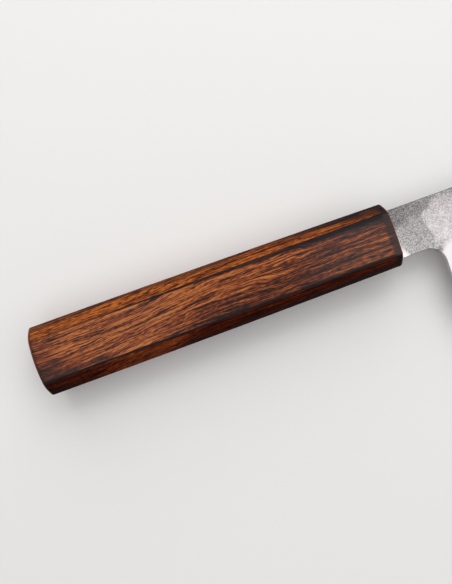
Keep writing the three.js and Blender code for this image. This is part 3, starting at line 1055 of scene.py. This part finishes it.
def store_face_places(mesh, sources):
    """Stores where each point is from the face lines, for the finishes."""
    for name, values in FACE_PLACES.items():
        kept = mesh.attributes.new(name, "FLOAT", "POINT")
        kept.data.foreach_set("value", values[sources].astype(np.float32))


print("points on face lines:", {name: int(flags.sum()) for name, flags in on_lines.items()})

# %% Closed layers
LAYER_APART = 1e-5


def layer_mesh(name, triangles, upper, lower):
    """A closed layer between two heights over the side, which may meet along its border."""
    used = np.unique(triangles)
    top = np.full(len(SIDE), -1)
    top[used] = np.arange(len(used))
    split = used[(upper - lower)[used] > LAYER_APART]
    bottom = top.copy()
    bottom[split] = len(used) + np.arange(len(split))
    sources = np.concatenate((used, split))
    points = np.column_stack((SIDE[sources], np.concatenate((upper[used], lower[split]))))
    directed = np.vstack([triangles[:, (i, (i + 1) % 3)] for i in range(3)])
    pairs = set(map(tuple, directed))
    border = [pair for pair in pairs if pair[::-1] not in pairs]
    faces = [tuple(top[t]) for t in triangles] + [tuple(bottom[t[::-1]]) for t in triangles]
    for a, b in border:
        wall = tuple(dict.fromkeys((bottom[a], bottom[b], top[b], top[a])))
        if len(wall) > 2:
            faces.append(wall)
    mesh = bpy.data.meshes.new(name)
    mesh.from_pydata((points * MM + np.array(FRONT)).tolist(), [], [tuple(map(int, f)) for f in faces])
    mesh.validate()
    keep_lines_sharp(mesh, sources)
    store_face_places(mesh, sources)
    return mesh


def blade_layer(name, node, triangles, upper, lower, finish):
    layer = new_object(name, layer_mesh(name, triangles, upper, lower))
    layer.data.materials.append(finish)
    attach(layer, "root")
    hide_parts(node)
    print(name, len(layer.data.polygons), "faces")


print("layers closer than", LAYER_APART, "mm share their border points")

# %% [markdown]
# The cladding shows two finishes. Where it was left as forged and pickled, on the neck and the flats,
# it has the fine dimpled grain that is called pear skin. It is paler past the heel. On the neck, shade
# is painted darkest above, a highlight is painted on the lower corner at the handle, and a spot of
# painted shade sits above the choil. Below the ridge it was ground and stoned, so the bevel is smooth
# and bright with faint lines along the blade. One material does all of it and changes over at the
# ridge, because on the real blade it is one piece of metal.

# %% Tones of the forged steel
# Where a spot of painted shade sits above the choil.
CHOIL_SHADE_SPOT = (14.8, -10.8)
FLAT_TONE = 0.485


def neck_tone(x, y, grain, clouds):
    """The neck: painted shade above, paler below, and a painted highlight on the lower corner by the
    handle.
    """
    # Painted shade: the upper neck is darker than the lower.
    low = (x * 0.25 - y + clouds * 4.0).ramp(-1.9, 0.6, smooth=True)
    low_tone = x.ramp(0.0, 6.0, 0.35, 0.285) + y.ramp(-7.0, -1.0, 0.045, 0.0)
    shaded = blend(x.ramp(0.0, 14.0, 0.155, 0.21), low_tone, low)
    # Painted highlight on the lower corner by the handle.
    lightened = (y * 0.6 + x * 1.1 + clouds * 2.0).ramp(-2.3, 0.3, 0.46, 0.0, smooth=True)
    return grain * (shaded * 1.8 + 0.3) + shaded + lightened


def flat_tone(x, y, grain, clouds):
    """The flats: paler and cloudier than the neck, with a shade along the spine."""
    spine_shade = y.ramp(3.5, 7.5, 0.0, 0.20) * x.ramp(20.0, 60.0, 1.0, 0.4)
    return grain * 0.78 + clouds * 0.39 + FLAT_TONE - spine_shade


def choil_shade(x, y):
    """How dark the painted shade above the choil is, which fades out from its middle."""
    spot_x = x - CHOIL_SHADE_SPOT[0]
    spot_y = y - CHOIL_SHADE_SPOT[1]
    return (spot_x * spot_x + spot_y * spot_y).ramp(0.2, 3.2, 0.20, 0.0, smooth=True)


# The spot printed here is painted shade.
print("trace of scale", CHOIL_SHADE_SPOT, "mm from the handle's front")

# %% Forged cladding
# Each layer of the steel's grain, in the same order of values as the oak's.
STEEL_LAYERS = {
    "clouds": (6.0, 4.0, 14.0, 2.0),
    "border": (3.2, 3.2, 2.0, 3.0, 0.6),
    "pear": (0.56, 0.56, 4.0, 2.0, 0.6),
    "specks": (0.30, 0.30, 9.0, 0.0),
    "lines": (16.0, 0.11, 19.0, 2.0),
}
BEVEL_TONE = 0.605
STEEL_TINT = (1.0, 0.94, 0.94)


def forged_cladding():
    finish, tree, shader = new_finish("forged_cladding")
    place = object_millimetres(tree)
    x, y, _ = axes_of(tree, place)
    layers = {name: stretched_noise(tree, place, *sizes) for name, sizes in STEEL_LAYERS.items()}
    clouds = layers["clouds"] - 0.5
    pear = layers["pear"]
    lines = layers["lines"]
    softness = x.ramp(HEEL_X + 4.0, HEEL_X + 16.0, 1.5, 0.3)
    below_ridge = attribute(tree, "below_ridge")
    bevel = ((below_ridge + clouds * softness) / softness).ramp(-1.0, 0.8, smooth=True)
    ahead = x + layers["border"] * 6.0 - y.ramp(3.0, 8.0, 0.0, 5.0)
    past_heel = ahead.ramp(15.8, 17.8, smooth=True)

    grain = (pear - 0.5) * 0.7 + (layers["specks"] - 0.5) * 0.45
    forged = blend(neck_tone(x, y, grain, clouds), flat_tone(x, y, grain, clouds), past_heel)
    # The forged steel, less the painted shade above the choil, gives way to the stoned bevel below the
    # ridge.
    tone = blend(forged - choil_shade(x, y), (lines - 0.5) * 0.10 + BEVEL_TONE, bevel)
    dimples = pear * blend(blend(1.0, 0.45, past_heel), 0.0, bevel) + lines * bevel * 0.08
    feed_all(tree, shader, {
        "Base Color": tinted(tree, tone, STEEL_TINT),
        "Roughness": blend(pear.ramp(0.3, 0.7, 0.52, 0.40), lines.ramp(0.3, 0.7, 0.24, 0.32), bevel),
        "Normal": relief(tree, dimples, strength=0.5, depth=0.06),
        "Metallic": 1.0,
    })
    return finish


CLADDING = forged_cladding()
print("forged cladding:", len(CLADDING.node_tree.nodes), "nodes")

# %% [markdown]
# The core is the hard steel that cuts. It shows only below the weld line and as a hair line round the
# spine and the choil. It is stoned finer than the cladding, a little darker where it meets the weld,
# and brightest in the narrow sharpened strip. The mesh carries each point's distance from the weld and
# from the edge, so the material can follow both lines without a picture laid over the blade.

# %% Core steel
CORE_LINES = (20.0, 0.08, 7.0, 2.0)
CORE_HAZE = (3.0, 0.9, 13.0, 3.0)
CORE_TONE = 0.60
WELD_TONE = 0.50
STRIP_TONE = 0.74
STRIP_ROUGHNESS = 0.12
CORE_TINT = (0.985, 0.99, 1.0)


def core_steel():
    finish, tree, shader = new_finish("edge_steel")
    place = object_millimetres(tree)
    lines = stretched_noise(tree, place, *CORE_LINES)
    haze = stretched_noise(tree, place, *CORE_HAZE) - 0.5
    near_weld = (attribute(tree, "above_weld") + haze * 1.6).ramp(-1.6, -0.1, smooth=True)
    above_edge = attribute(tree, "above_edge")
    strip = above_edge.ramp(SHARPENED_STRIP * 0.9, SHARPENED_STRIP * 1.1, 1.0, 0.0)
    tone = blend((lines - 0.5) * 0.08 + CORE_TONE, WELD_TONE, near_weld)
    feed_all(tree, shader, {
        "Base Color": tinted(tree, blend(tone, STRIP_TONE, strip), CORE_TINT),
        "Roughness": blend(lines.ramp(0.3, 0.7, 0.20, 0.28), STRIP_ROUGHNESS, strip),
        "Metallic": 1.0,
    })
    return finish


EDGE_STEEL = core_steel()
print("core steel:", len(EDGE_STEEL.node_tree.nodes), "nodes")

# %% [markdown]
# All three layers use the same triangles and heights, so core and cladding meet at the weld without a
# gap, as forge-welded steel does. The core runs through the whole blade and tang, and each cladding
# covers only the triangles where the grind has left some of it standing.

# %% Make the blade
core_half = np.minimum(ground, weld)
clad_triangles = TRIANGLES[CLAD]
blade_layer("blade_core", "core_steel", TRIANGLES, core_half, -core_half, EDGE_STEEL)
blade_layer("blade_right", "right_cladding", clad_triangles, ground, weld, CLADDING)
blade_layer("blade_left", "left_cladding", clad_triangles, -weld, -ground, CLADDING)

# %% [markdown]
# The set adhesive round the tang is hidden but for a hair line at the socket's mouth. Its solid is
# right as it is, so it stays, and only gets the look of dark, slightly cloudy resin.

# %% Set adhesive
RESIN_CLOUDS = (2.0, 1.2, 3.0, 3.0)
RESIN_SHADES = [(0.3, (0.030, 0.020, 0.013)), (0.7, (0.075, 0.050, 0.030))]


def set_adhesive():
    finish, tree, shader = new_finish("set_adhesive")
    clouds = stretched_noise(tree, object_millimetres(tree), *RESIN_CLOUDS)
    feed_all(tree, shader, {
        "Base Color": colour_ramp(tree, clouds, RESIN_SHADES),
        "Roughness": clouds.ramp(0.3, 0.7, 0.35, 0.55),
    })
    return finish


tang_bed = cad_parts["tang_bed"]
tang_bed.data.materials.clear()
tang_bed.data.materials.append(set_adhesive())
print("adhesive finished:", len(tang_bed.data.polygons), "faces")

# %% [markdown]
# The stage is a plain pale floor under soft studio light. A broad, even softbox overhead gives the
# lacquer its grey sheen and the bevel its white. A second one from the spine's side, ahead of the
# handle, brightens the upper chamfer and throws the shadow back under the edge side. It lights the
# knife but isn't mirrored in it, or the steel would clip to white from other sides. Away from the knife
# the floor fades into the pale colour of the room, so that no horizon shows behind it.

# %% Floor
FLOOR_SIDE = 6.0
FLOOR_COLOUR = (0.80, 0.79, 0.78, 1.0)
FLOOR_ROUGHNESS = 0.9
FLOOR_SPECULAR = 0.05
# Distances from the knife over which the floor fades into the room.
FADE_START = 0.2
FADE_END = 0.6
ROOM_COLOUR = (0.93, 0.93, 0.93, 1.0)
ROOM_SEEN = 0.85


def ray_kinds(tree, first, *others):
    """1 for rays of any of the kinds, else 0."""
    ray = add_node(tree, "ShaderNodeLightPath")
    found = Term(tree, ray.outputs["Is %s Ray" % first])
    for other in others:
        found = found.most(ray.outputs["Is %s Ray" % other])
    return found


def pale_floor():
    finish, tree, shader = new_finish("pale_floor")
    feed_all(tree, shader, {
        "Base Color": FLOOR_COLOUR,
        "Roughness": FLOOR_ROUGHNESS,
        "Specular IOR Level": FLOOR_SPECULAR,
    })
    place = add_node(tree, "ShaderNodeTexCoord").outputs["Object"]
    length = add_node(tree, "ShaderNodeVectorMath", (place,), operation="LENGTH")
    faded = Term(tree, length.outputs["Value"]).ramp(FADE_START, FADE_END, smooth=True)
    faded = faded * ray_kinds(tree, "Camera", "Glossy", "Transmission")
    room = add_node(tree, "ShaderNodeEmission", {"Color": ROOM_COLOUR, "Strength": ROOM_SEEN})
    mixed = add_node(tree, "ShaderNodeMixShader", (faded, shader.outputs[0], room.outputs[0]))
    feed(tree, tree.nodes["Material Output"].inputs["Surface"], mixed.outputs[0])
    return finish


def floor():
    half = FLOOR_SIDE / 2
    corners = [(-half, -half, 0), (half, -half, 0), (half, half, 0), (-half, half, 0)]
    mesh = bpy.data.meshes.new("floor")
    mesh.from_pydata(corners, [], [(0, 1, 2, 3)])
    mesh.materials.append(pale_floor())
    made = new_object("floor", mesh)
    print("floor", FLOOR_SIDE, "m wide")


floor()

# %% Lamps and room
# How strong the room is as light, and as mirrored low down and overhead.
ROOM_LIGHT = 0.36
ROOM_LOW = 0.25
ROOM_HIGH = 0.90


def soft_light(name, place, aim, side, power, mirrored=True):
    lamp = bpy.data.lights.new(name, "AREA")
    lamp.shape = "SQUARE"
    lamp.size = side
    lamp.energy = power
    made = new_object(name, lamp)
    made.location = place
    made.rotation_euler = (Vector(place) - Vector(aim)).to_track_quat("Z", "Y").to_euler()
    made.visible_glossy = mirrored
    print(name, power, "W over", side, "m")


def studio_room():
    """A world that lights evenly, looks pale, and is mirrored as brighter overhead than round about."""
    world = bpy.data.worlds.new("studio")
    world.use_nodes = True
    tree = world.node_tree
    height = axes_of(tree, add_node(tree, "ShaderNodeTexCoord").outputs["Generated"])[2]
    overhead = height.ramp(0.05, 0.55, ROOM_LOW, ROOM_HIGH)
    strength = blend(ROOM_LIGHT, overhead, ray_kinds(tree, "Glossy", "Transmission"))
    strength = blend(strength, ROOM_SEEN, ray_kinds(tree, "Camera"))
    feed_all(tree, tree.nodes["Background"], {"Color": ROOM_COLOUR, "Strength": strength})
    bpy.context.scene.world = world


soft_light("softbox", (0.15, 0.05, 0.95), aim=(0.0, 0.0, 0.0), side=1.8, power=8.0)
soft_light("key", (0.125, 0.75, 0.625), aim=(-0.05, 0.0, 0.0), side=1.0, power=6.4, mirrored=False)
studio_room()
bpy.context.scene.view_settings.view_transform = "Standard"
